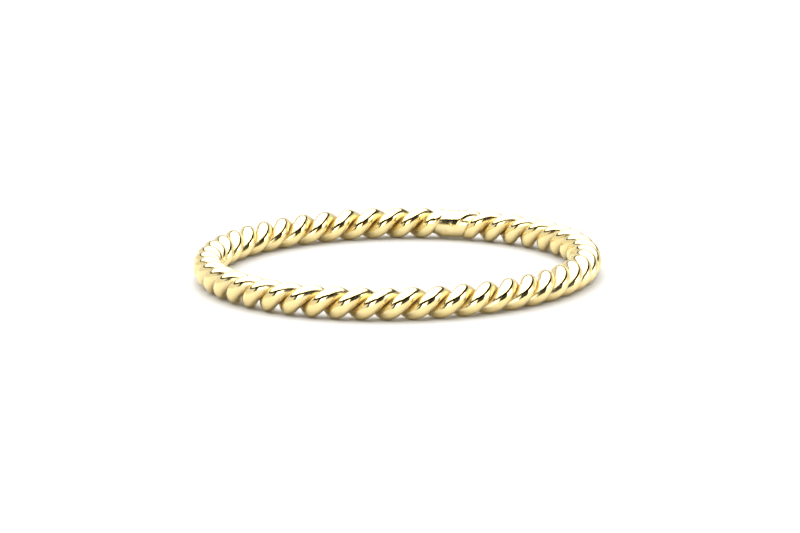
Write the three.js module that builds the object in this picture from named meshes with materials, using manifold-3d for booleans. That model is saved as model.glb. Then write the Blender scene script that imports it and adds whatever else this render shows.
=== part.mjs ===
// A stacking ring: two round gold wires laid together into a rope, bent to a finger's size and
// soldered closed. Solder joins the wires along the rope and where their ends meet, so the ring
// is one piece of metal and one mesh.
// Millimetres, +Z up. The ring lies flat, with its origin at its middle on the surface under it.
// Ring angles run from the front (-Y) towards +X.
import * as THREE from "three";
import { mergeVertices } from "three/addons/utils/BufferGeometryUtils.js";
import Module from "manifold-3d";

// Driving dimensions
const INNER_DIAMETER = 17.3; // a US size 7 ring
const WIRE_DIAMETER = 0.8;
const PRESSED = 0.015; // how far the lay presses each wire past the rope's centre line
const HALF_TURNS = 47; // bumps round the rope; an odd count joins each wire to the other one

// The joint, filed to a smooth waist at the back of the ring
const JOINT_STEP = 126; // where the wires' ends meet, in steps of the twist from the front
const JOINT_LENGTH = 3.6;
const JOINT_WAIST = 0.7; // radius of the filed rope at its thinnest

// Facets
const STEPS_PER_HALF_TURN = 6;
const CORNERS_PER_WIRE = 7; // an odd count, so that one corner is outermost
const SOLDERED_TO = (5 / 6) * Math.PI; // how far round each wire, from outermost, the solder begins
const JOINT_SIDES = 20;
const JOINT_STATIONS = 10;

const WIRE_RADIUS = WIRE_DIAMETER / 2;
const LAY_RADIUS = WIRE_RADIUS - PRESSED; // from the rope's centre line to each wire's
const ROPE_RADIUS = LAY_RADIUS + WIRE_RADIUS;
const BAND_RADIUS = INNER_DIAMETER / 2 + ROPE_RADIUS; // of the rope's centre line
const TWIST_RATE = HALF_TURNS / 2; // turns of the rope for each turn of the ring
const STEP_ANGLE = (2 * Math.PI) / (HALF_TURNS * STEPS_PER_HALF_TURN);
const JOINT_ANGLE = (JOINT_STEP + 0.5) * STEP_ANGLE;

// A point from how far it is out from, round and above the rope's centre line.
function bandPoint(out, angle, up, target = new THREE.Vector3()) {
  const reach = BAND_RADIUS + out;
  return target.set(reach * Math.sin(angle), -reach * Math.cos(angle), ROPE_RADIUS + up);
}

// The rope's centre line, once round from the joint to the joint. One step of the twist is left
// open between the wires' ends, for the solder to fill.
class LaidRope extends THREE.Curve {
  angleAt(t) {
    return JOINT_ANGLE + STEP_ANGLE / 2 + t * (2 * Math.PI - STEP_ANGLE);
  }

  getPoint(t, target) {
    return bandPoint(0, this.angleAt(t), 0, target);
  }

  // The circle is drawn at an even pace, so its own parameter spaces the sections.
  getPointAt(u, target) {
    return this.getPoint(u, target);
  }

  // The section turns with the twist: its first axis points from one wire to the other.
  computeFrenetFrames(segments) {
    const frames = { tangents: [], normals: [], binormals: [] };
    for (let i = 0; i <= segments; i++) {
      const angle = this.angleAt(i / segments);
      const phase = angle * TWIST_RATE;
      const tangent = new THREE.Vector3(Math.cos(angle), Math.sin(angle), 0);
      const outward = new THREE.Vector3(Math.sin(angle), -Math.cos(angle), 0);
      const normal = outward.multiplyScalar(Math.cos(phase)).setZ(Math.sin(phase));
      frames.tangents.push(tangent);
      frames.normals.push(normal);
      frames.binormals.push(new THREE.Vector3().crossVectors(tangent, normal));
    }
    return frames;
  }
}

// Where a cut square across the rope meets a corner of one wire, that lies at an angle round the
// wire from its outermost line. The cut takes the wire at a slant, and the wire winds on as the
// cut passes through it, which bends its round section into a bean. Corners stand a little
// outside the round wire, to make up for the flats between them.
function slicedWirePoint(around, side) {
  const spacing = (2 * SOLDERED_TO) / (CORNERS_PER_WIRE - 1);
  const cornerRadius = WIRE_RADIUS * Math.sqrt(spacing / Math.sin(spacing));
  const turnPerLength = TWIST_RATE / BAND_RADIUS;
  const slant = Math.atan(LAY_RADIUS * turnPerLength);
  const away = LAY_RADIUS + cornerRadius * Math.cos(around);
  const across = -cornerRadius * Math.sin(around) * Math.cos(slant);
  const windsOn = -cornerRadius * Math.sin(around) * Math.sin(slant) * turnPerLength;
  const point = new THREE.Vector2(away, across).multiplyScalar(side);
  return point.rotateAround(new THREE.Vector2(), windsOn);
}

// The rope's section: the two wires side by side, with solder in the valleys between them.
function ropeSection() {
  const corners = [1, -1].flatMap((side) =>
    Array.from({ length: CORNERS_PER_WIRE }, (_, i) => {
      const share = i / (CORNERS_PER_WIRE - 1);
      return slicedWirePoint(THREE.MathUtils.lerp(SOLDERED_TO, -SOLDERED_TO, share), side);
    }),
  );
  return new THREE.Shape(corners);
}

function ropeGeometry() {
  return new THREE.ExtrudeGeometry(ropeSection(), {
    steps: HALF_TURNS * STEPS_PER_HALF_TURN - 1,
    extrudePath: new LaidRope(),
  });
}

// Turns a profile of (radius, distance along) points about the rope's centre line at the joint.
function turnedAtJoint(profile) {
  const geometry = new THREE.LatheGeometry(profile, JOINT_SIDES);
  const position = geometry.getAttribute("position");
  for (let i = 0; i < position.count; i++) {
    const angle = JOINT_ANGLE + position.getY(i) / BAND_RADIUS;
    position.setXYZ(i, ...bandPoint(position.getX(i), angle, position.getZ(i)));
  }
  return geometry;
}

// A profile over a length of the joint, from a radius for each share of the way to its ends.
function jointProfile(length, radiusAt) {
  return Array.from({ length: JOINT_STATIONS + 1 }, (_, i) => {
    const share = (2 * i) / JOINT_STATIONS - 1;
    return new THREE.Vector2(radiusAt(share), (share * length) / 2);
  });
}

// The solder round the wires' ends: a spindle that runs out into the grooves.
function solderGeometry() {
  const spindle = (share) => ROPE_RADIUS * Math.sqrt(1 - share * share);
  return turnedAtJoint(jointProfile(JOINT_LENGTH, spindle));
}

// What the file takes off at the joint: all that stands outside a waist, which is thinnest in
// the middle and clear of the bumps at its ends.
function filingsGeometry() {
  const end = ROPE_RADIUS + 3 * PRESSED;
  const waist = (share) => THREE.MathUtils.lerp(JOINT_WAIST, end, share * share);
  const inside = jointProfile(JOINT_LENGTH, waist);
  const outside = jointProfile(JOINT_LENGTH, () => 2 * ROPE_RADIUS);
  return turnedAtJoint([...outside, ...inside.reverse(), outside[0]]);
}

const wasm = await Module();
wasm.setup();

// Joins the corners that faces share, and leaves out the faces that this closes up.
function solid(geometry) {
  geometry.deleteAttribute("normal");
  geometry.deleteAttribute("uv");
  const merged = mergeVertices(geometry, 1e-4);
  const index = merged.getIndex().array;
  const faces = [];
  for (let i = 0; i < index.length; i += 3) {
    const face = [...index.slice(i, i + 3)];
    if (new Set(face).size === 3) {
      faces.push(...face);
    }
  }
  return new wasm.Manifold(
    new wasm.Mesh({
      numProp: 3,
      vertProperties: merged.getAttribute("position").array,
      triVerts: new Uint32Array(faces),
    }),
  );
}

function geometryOf(manifold) {
  const mesh = manifold.getMesh();
  const geometry = new THREE.BufferGeometry();
  geometry.setAttribute("position", new THREE.BufferAttribute(mesh.vertProperties, 3));
  geometry.setIndex(new THREE.BufferAttribute(mesh.triVerts, 1));
  geometry.computeVertexNormals();
  return geometry;
}

// The height of round wires. It trims the corners of the highest and lowest bumps, which leaves
// a small flat on each to lie or stack on.
function ropeHeightSlab() {
  const across = 3 * BAND_RADIUS;
  const slab = new THREE.BoxGeometry(across, across, 2 * ROPE_RADIUS);
  return slab.translate(0, 0, ROPE_RADIUS);
}

function twistedBand() {
  const gold = new THREE.MeshStandardMaterial({
    color: 0xe8cb7d,
    metalness: 1,
    roughness: 0.12,
  });
  const soldered = solid(ropeGeometry()).add(solid(solderGeometry()));
  const filed = soldered.subtract(solid(filingsGeometry()));
  const band = new THREE.Mesh(geometryOf(filed.intersect(solid(ropeHeightSlab()))), gold);
  band.name = "twisted_band";
  return band;
}

const ring = new THREE.Group();
ring.add(twistedBand());

export default ring;
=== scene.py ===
"""A stacking ring of two round gold wires laid together into a rope, lying on a pale table.

Each wire is wound straight, as on a bench, filed where its ends meet, and then bent to the ring.
Metres, +Z up. Ring angles run from the front (-Y) towards +X.
"""
import math

import bpy
from mathutils import Matrix, Vector


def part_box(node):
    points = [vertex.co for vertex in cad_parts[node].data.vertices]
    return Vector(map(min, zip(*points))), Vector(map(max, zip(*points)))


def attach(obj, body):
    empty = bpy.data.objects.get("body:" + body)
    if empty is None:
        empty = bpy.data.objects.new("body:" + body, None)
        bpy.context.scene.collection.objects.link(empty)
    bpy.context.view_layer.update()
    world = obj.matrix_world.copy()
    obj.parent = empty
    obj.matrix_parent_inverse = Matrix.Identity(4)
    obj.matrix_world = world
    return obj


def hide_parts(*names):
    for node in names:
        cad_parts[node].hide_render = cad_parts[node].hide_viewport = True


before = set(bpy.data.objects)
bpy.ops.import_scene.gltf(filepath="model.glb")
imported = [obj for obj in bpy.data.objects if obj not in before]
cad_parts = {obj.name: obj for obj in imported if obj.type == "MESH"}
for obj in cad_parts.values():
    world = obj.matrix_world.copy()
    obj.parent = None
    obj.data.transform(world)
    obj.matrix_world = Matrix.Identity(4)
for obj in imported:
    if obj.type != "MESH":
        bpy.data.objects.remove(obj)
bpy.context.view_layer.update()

MM = 0.001

# The rope, from the CAD band's box
HALF_TURNS = 47  # bumps round the rope
band_low, band_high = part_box("twisted_band")
ROPE_RADIUS = (band_high[2] - band_low[2]) / 2
WIRE_RADIUS = 0.4 * MM
LAY_RADIUS = ROPE_RADIUS - WIRE_RADIUS  # from the rope's centre line to each wire's
FACET_MARGIN = 0.021 * MM  # by which the CAD band's corners stand outside the round wires
BAND_RADIUS = band_high[0] - ROPE_RADIUS - FACET_MARGIN  # of the rope's centre line
BAND_LENGTH = 2 * math.pi * BAND_RADIUS
TWIST_PER_LENGTH = HALF_TURNS * math.pi / BAND_LENGTH
LAY_SLANT = math.atan(LAY_RADIUS * TWIST_PER_LENGTH)

# The soldered joint at the back
JOINT_AT = 21.083 * BAND_LENGTH / HALF_TURNS  # along the band from the front
JOINT_LENGTH = 3.6 * MM
JOINT_WAIST = 0.71 * MM
SOLDER_RADIUS = 0.66 * MM
BUTT_GAP = 0.2 * MM  # between the wires' ends, filled flush by a bead of solder
BUTT_BEAD = 0.9 * MM

WIRE_SIDES = 32
STEPS_PER_BUMP = 18


def deselect_all():
    if bpy.context.object and bpy.context.object.mode != "OBJECT":
        bpy.ops.object.mode_set(mode="OBJECT")
    bpy.ops.object.select_all(action="DESELECT")


def added(name):
    """The object that the last operator added, under its name, with its place in its mesh."""
    piece = bpy.context.object
    piece.name = name
    piece.data.name = name
    bpy.ops.object.transform_apply(location=True, rotation=True, scale=True)
    return piece


def modify(piece, kind, **settings):
    """Adds a modifier with these settings and applies it."""
    modifier = piece.modifiers.new(kind.title(), kind)
    for key, value in settings.items():
        setattr(modifier, key, value)
    bpy.context.view_layer.objects.active = piece
    bpy.ops.object.modifier_apply(modifier=modifier.name)


def edit(piece, *steps):
    """Runs edit-mode steps on everything in the piece."""
    bpy.context.view_layer.objects.active = piece
    bpy.ops.object.mode_set(mode="EDIT")
    bpy.ops.mesh.select_all(action="SELECT")
    for step in steps:
        step()
    bpy.ops.object.mode_set(mode="OBJECT")


def close_and_face_outward():
    bpy.ops.mesh.remove_doubles(threshold=1e-7)
    bpy.ops.mesh.fill_holes(sides=0)
    bpy.ops.mesh.normals_make_consistent(inside=False)


# Shapes ------------------------------------------------------------------------------------
# A straight piece has X along the band, -Y outwards and +Z up, with the front of the ring at 0.


def soft_least(a, b, blend):
    """The lesser of two lengths, with the corner between them rounded off."""
    overlap = max(blend - abs(a - b), 0) / blend
    return min(a, b) - overlap * overlap * blend / 4


def file_to_waist(piece, joints_at):
    """Files a straight piece down to a smooth waist about each of the given places along it."""
    for vertex in piece.data.vertices:
        along, inward, up = vertex.co
        from_joint = min(abs(along - place) for place in joints_at) / (JOINT_LENGTH / 2)
        if from_joint >= 1:
            continue
        radius = math.hypot(inward, up)
        clear = ROPE_RADIUS + 0.05 * MM
        waist = JOINT_WAIST + (clear - JOINT_WAIST) * from_joint ** 2
        filed = soft_least(radius, waist, 0.03 * MM) / max(radius, 1e-9)
        vertex.co = (along, inward * filed, up * filed)


def bend_to_ring(piece):
    """Bends a straight piece round to the ring, its zero staying at the front."""
    along = [vertex.co.x for vertex in piece.data.vertices]
    modify(
        piece,
        "SIMPLE_DEFORM",
        deform_method="BEND",
        deform_axis="Z",
        angle=(max(along) - min(along)) / BAND_RADIUS,
    )
    piece.location = (0, -BAND_RADIUS, ROPE_RADIUS)
    bpy.ops.object.transform_apply(location=True, rotation=False, scale=False)


def laid_wire(name, front_turn):
    """One wire, wound from the joint once round the ring to the joint."""
    start = JOINT_AT - BAND_LENGTH + BUTT_GAP / 2
    length = BAND_LENGTH - BUTT_GAP
    turn_there = front_turn - TWIST_PER_LENGTH * start
    deselect_all()
    bpy.ops.mesh.primitive_circle_add(
        vertices=WIRE_SIDES, radius=WIRE_RADIUS, rotation=(0, math.pi / 2, 0)
    )
    wire = added(name)
    edit(
        wire,
        lambda: bpy.ops.transform.rotate(
            value=LAY_SLANT, orient_axis="Y", center_override=(0, 0, 0)
        ),
        lambda: bpy.ops.transform.translate(value=(0, -LAY_RADIUS, 0)),
    )
    wire.data.transform(Matrix.Translation((start, 0, 0)) @ Matrix.Rotation(turn_there, 4, "X"))
    modify(
        wire,
        "SCREW",
        axis="X",
        angle=-TWIST_PER_LENGTH * length,
        screw_offset=length,
        steps=HALF_TURNS * STEPS_PER_BUMP,
        render_steps=HALF_TURNS * STEPS_PER_BUMP,
        use_smooth_shade=True,
    )
    file_to_waist(wire, (JOINT_AT, JOINT_AT - BAND_LENGTH))
    bend_to_ring(wire)
    edit(wire, close_and_face_outward)
    bpy.ops.object.shade_smooth_by_angle(angle=math.radians(50))
    return wire


def joint_solder():
    """The solder round the wires' ends, a spindle that runs out into the grooves."""
    deselect_all()
    bpy.ops.mesh.primitive_uv_sphere_add(
        segments=64,
        ring_count=48,
        radius=1,
        location=(JOINT_AT, 0, 0),
        rotation=(0, math.pi / 2, 0),
        scale=(SOLDER_RADIUS, SOLDER_RADIUS, JOINT_LENGTH / 2),
    )
    solder = added("joint_solder")
    for vertex in solder.data.vertices:
        along, inward, up = vertex.co
        near_butt = math.exp(-(((along - JOINT_AT) / BUTT_BEAD) ** 2))
        swell = 1 + near_butt * (JOINT_WAIST / SOLDER_RADIUS - 1)
        vertex.co = (along, inward * swell, up * swell)
    bend_to_ring(solder)
    edit(solder, close_and_face_outward)
    bpy.ops.object.shade_smooth_by_angle(angle=math.radians(50))
    return solder


# Finish ------------------------------------------------------------------------------------


class Sock:
    """A shader socket that takes part in Python sums, each of which adds a Math node."""

    def __init__(self, shader, socket):
        self.shader = shader
        self.socket = socket

    def _math(self, operation, *values, clamp=False):
        settings = {"operation": operation, "use_clamp": clamp}
        return self.shader.node("ShaderNodeMath", settings, *values)[0]

    def __add__(self, other):
        return self._math("ADD", self, other)

    __radd__ = __add__

    def __sub__(self, other):
        return self._math("SUBTRACT", self, other)

    def __rsub__(self, other):
        return self._math("SUBTRACT", other, self)

    def __mul__(self, other):
        return self._math("MULTIPLY", self, other)

    __rmul__ = __mul__

    def __truediv__(self, other):
        return self._math("DIVIDE", self, other)

    def __pow__(self, other):
        return self._math("POWER", self, other)

    def __abs__(self):
        return self._math("ABSOLUTE", self)

    def angle_to(self, other):
        """The angle in degrees of the direction whose sine side is this and cosine side other."""
        return self._math("ARCTAN2", self, other) * math.degrees(1)

    def clamped(self):
        return self._math("ADD", self, 0, clamp=True)

    def over(self, low, high):
        """0 up to low and 1 past high, with a straight slope between."""
        return ((self - low) / (high - low)).clamped()


class Shader:
    """The node tree of one material, or of the studio round it."""

    def __init__(self, owner):
        self.owner = owner
        owner.use_nodes = True
        self.tree = owner.node_tree
        self.tree.nodes.clear()

    def node(self, kind, settings=None, *values, **named):
        """Adds a node with its settings, and sets or links its sockets. Returns its outputs."""
        node = self.tree.nodes.new(kind)
        for key, value in (settings or {}).items():
            if key == "stops":
                self._set_stops(node.color_ramp, value)
            else:
                setattr(node, key, value)
        for place, value in enumerate(values):
            self._feed(node.inputs[place], value)
        for name, value in named.items():
            self._feed(node.inputs[name.replace("_", " ")], value)
        return [Sock(self, output) for output in node.outputs]

    def _set_stops(self, ramp, stops):
        while len(ramp.elements) < len(stops):
            ramp.elements.new(1)
        for element, (position, colour) in zip(ramp.elements, stops):
            element.position = position
            element.color = (*colour, 1)

    def _feed(self, target, value):
        if isinstance(value, Sock):
            self.tree.links.new(value.socket, target)
        else:
            target.default_value = value

    def blend(self, factor, first, second):
        """A colour between two colours."""
        node = self.tree.nodes.new("ShaderNodeMix")
        node.data_type = "RGBA"
        self._feed(node.inputs["Factor"], factor)
        for name, colour in (("A", first), ("B", second)):
            target = next(i for i in node.inputs if i.name == name and i.type == "RGBA")
            self._feed(target, colour if isinstance(colour, Sock) else (*colour, 1))
        return Sock(self, next(o for o in node.outputs if o.type == "RGBA"))


def polished_gold(name, colour, groove_shade_colour, polish):
    """Polished yellow gold: warmer and duller down in the grooves, where the colour is painted shade
    and the surface is rougher; finely marked on the bumps.
    """
    shader = Shader(bpy.data.materials.new(name))
    place = shader.node("ShaderNodeTexCoord")[3]
    x, y, z = shader.node("ShaderNodeSeparateXYZ", None, place)
    reach = (x * x + y * y) ** 0.5 - BAND_RADIUS
    up = z - ROPE_RADIUS
    from_centre = (reach * reach + up * up) ** 0.5 / ROPE_RADIUS
    # Depth into the grooves between the wires. It paints shade into the colour there, and it also
    # roughens the surface.
    groove = 1 - from_centre.over(0.4, 0.95)

    cloudy = shader.node(
        "ShaderNodeTexNoise", None, Vector=place, Scale=900.0, Detail=3.0, Roughness=0.5
    )[0]
    rubbed = shader.node(
        "ShaderNodeTexNoise", None, Vector=place, Scale=9000.0, Detail=4.0, Roughness=0.6
    )[0]
    scratches = shader.node(
        "ShaderNodeTexNoise",
        None,
        Vector=shader.node("ShaderNodeMapping", None, place, Scale=(0.15, 0.15, 1.0))[0],
        Scale=24000.0,
        Detail=2.0,
    )[0]

    # Painted shade: the colour darkens to the groove colour down in the grooves.
    tone = shader.blend(groove * 0.8, colour, groove_shade_colour)
    warmer = tuple(c * k for c, k in zip(colour, (1.0, 0.94, 0.8)))
    tone = shader.blend(cloudy.over(0.45, 0.75) * 0.35, tone, warmer)
    roughness = polish + 0.3 * groove + 0.08 * rubbed.over(0.4, 0.7)
    wavy = shader.node("ShaderNodeTexNoise", None, Vector=place, Scale=3000.0, Detail=1.0)[0]
    marks = wavy + rubbed * 0.2 + scratches * 0.25
    normal = shader.node(
        "ShaderNodeBump", None, Strength=1.0, Distance=0.006 * MM, Height=marks
    )[0]
    surface = shader.node(
        "ShaderNodeBsdfPrincipled",
        None,
        Base_Color=tone,
        Metallic=1.0,
        Roughness=roughness,
        Normal=normal,
    )[0]
    shader.node("ShaderNodeOutputMaterial", None, surface)
    return shader.owner


def pale_table():
    shader = Shader(bpy.data.materials.new("pale_table"))
    place = shader.node("ShaderNodeTexCoord")[3]
    grain = shader.node("ShaderNodeTexNoise", None, Vector=place, Scale=60.0, Detail=4.0)[0]
    tone = shader.blend(grain, (0.6, 0.6, 0.6), (0.63, 0.63, 0.63))
    surface = shader.node("ShaderNodeBsdfPrincipled", None, Base_Color=tone, Roughness=0.6)[0]
    shader.node("ShaderNodeOutputMaterial", None, surface)
    return shader.owner


# The table, the light and the camera -------------------------------------------------------

CAMERA_DISTANCE = 25 * BAND_RADIUS
CAMERA_ELEVATION = math.radians(12.46)
CAMERA_TURN = math.radians(-0.26)
CAMERA_ROLL = math.radians(-1.0)
LENS = 212.2
AIM_RIGHT = 0.138 * MM
AIM_DOWN = 0.246 * MM

# The studio: brightness, and edges in degrees above the table or round from its own front
STUDIO_TURN = 30  # degrees round to its front from the ring's
TENT = 0.92
TOP_LIGHT = 3.2
LOW_LIGHT = 3.4
SEAM_TOP = (48, 30)
SEAM_FOOT = (26, 22)
LOW_PANEL_END = (62, 70)
END_SEAM = (72, 10)
LENS_HOLE = 29
STAND_HALF = (15, 17)


def table():
    deselect_all()
    bpy.ops.mesh.primitive_plane_add(size=4)
    floor = added("table_top")
    floor.data.materials.append(pale_table())


def camera():
    centre = Vector((0, 0, ROPE_RADIUS))
    flat = math.cos(CAMERA_ELEVATION)
    away = Vector(
        (
            math.sin(CAMERA_TURN) * flat,
            -math.cos(CAMERA_TURN) * flat,
            math.sin(CAMERA_ELEVATION),
        )
    )
    turned = away.to_track_quat("Z", "Y").to_matrix().to_4x4()
    turned = turned @ Matrix.Rotation(CAMERA_ROLL, 4, "Z")
    pan = turned @ Vector((AIM_RIGHT, -AIM_DOWN, 0))
    bpy.ops.object.camera_add()
    shot = bpy.context.object
    shot.name = "camera"
    shot.matrix_world = Matrix.Translation(centre + away * CAMERA_DISTANCE + pan) @ turned
    shot.data.lens = LENS
    shot.data.sensor_width = 36
    shot.data.clip_start = 0.01
    bpy.context.scene.camera = shot


def studio_light():
    """A white tent, with two bright panels at the front and the dark seam and lens hole between."""
    world = bpy.data.worlds.new("studio")
    bpy.context.scene.world = world
    bpy.context.scene.view_settings.view_transform = "Standard"
    shader = Shader(world)
    x, y, z = shader.node("ShaderNodeSeparateXYZ", None, shader.node("ShaderNodeTexCoord")[0])
    height = z.angle_to((x * x + y * y) ** 0.5)
    turn = x.angle_to(-1 * y) - STUDIO_TURN
    backward = abs(turn).over(70, 140)
    seam_top = SEAM_TOP[0] + backward * (SEAM_TOP[1] - SEAM_TOP[0])
    seam_foot = SEAM_FOOT[0] + backward * (SEAM_FOOT[1] - SEAM_FOOT[0])
    top_panel = (height - seam_top).over(-1, 1)
    low_panel = (1 - (height - seam_foot).over(-1, 1)) * (1 - abs(turn).over(*LOW_PANEL_END))
    seam = (height - seam_foot).over(-1, 1) * (1 - top_panel)
    end_seam = (1 - abs(turn + END_SEAM[0]).over(END_SEAM[1] - 1, END_SEAM[1] + 1)) * (1 - top_panel)
    from_lens = (turn ** 2 + (height - math.degrees(CAMERA_ELEVATION)) ** 2) ** 0.5
    lens = 1 - from_lens.over(LENS_HOLE - 1, LENS_HOLE + 1)
    strength = TENT + top_panel * (TOP_LIGHT - TENT) + low_panel * (LOW_LIGHT - TENT)
    stand = (1 - abs(turn).over(*STAND_HALF)) * (1 - height.over(12, 13))
    for dark in (seam, end_seam, lens, stand):
        strength = strength * (1 - 0.98 * dark)
    light = shader.node("ShaderNodeBackground", None, (1, 1, 1, 1), strength)[0]
    shader.node("ShaderNodeOutputWorld", None, light)


camera()
table()
studio_light()

# For each gold, the second colour is the painted shade down in the grooves.
gold = polished_gold("polished_gold", (0.94, 0.77, 0.37), (0.6, 0.49, 0.32), 0.07)
solder_gold = polished_gold("solder_gold", (0.94, 0.79, 0.41), (0.6, 0.48, 0.26), 0.09)
pieces = [
    (laid_wire("laid_wire_a", 0), gold),
    (laid_wire("laid_wire_b", math.pi), gold),
    (joint_solder(), solder_gold),
]
for piece, material in pieces:
    piece.data.materials.clear()
    piece.data.materials.append(material)
    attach(piece, "root")
    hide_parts("twisted_band")
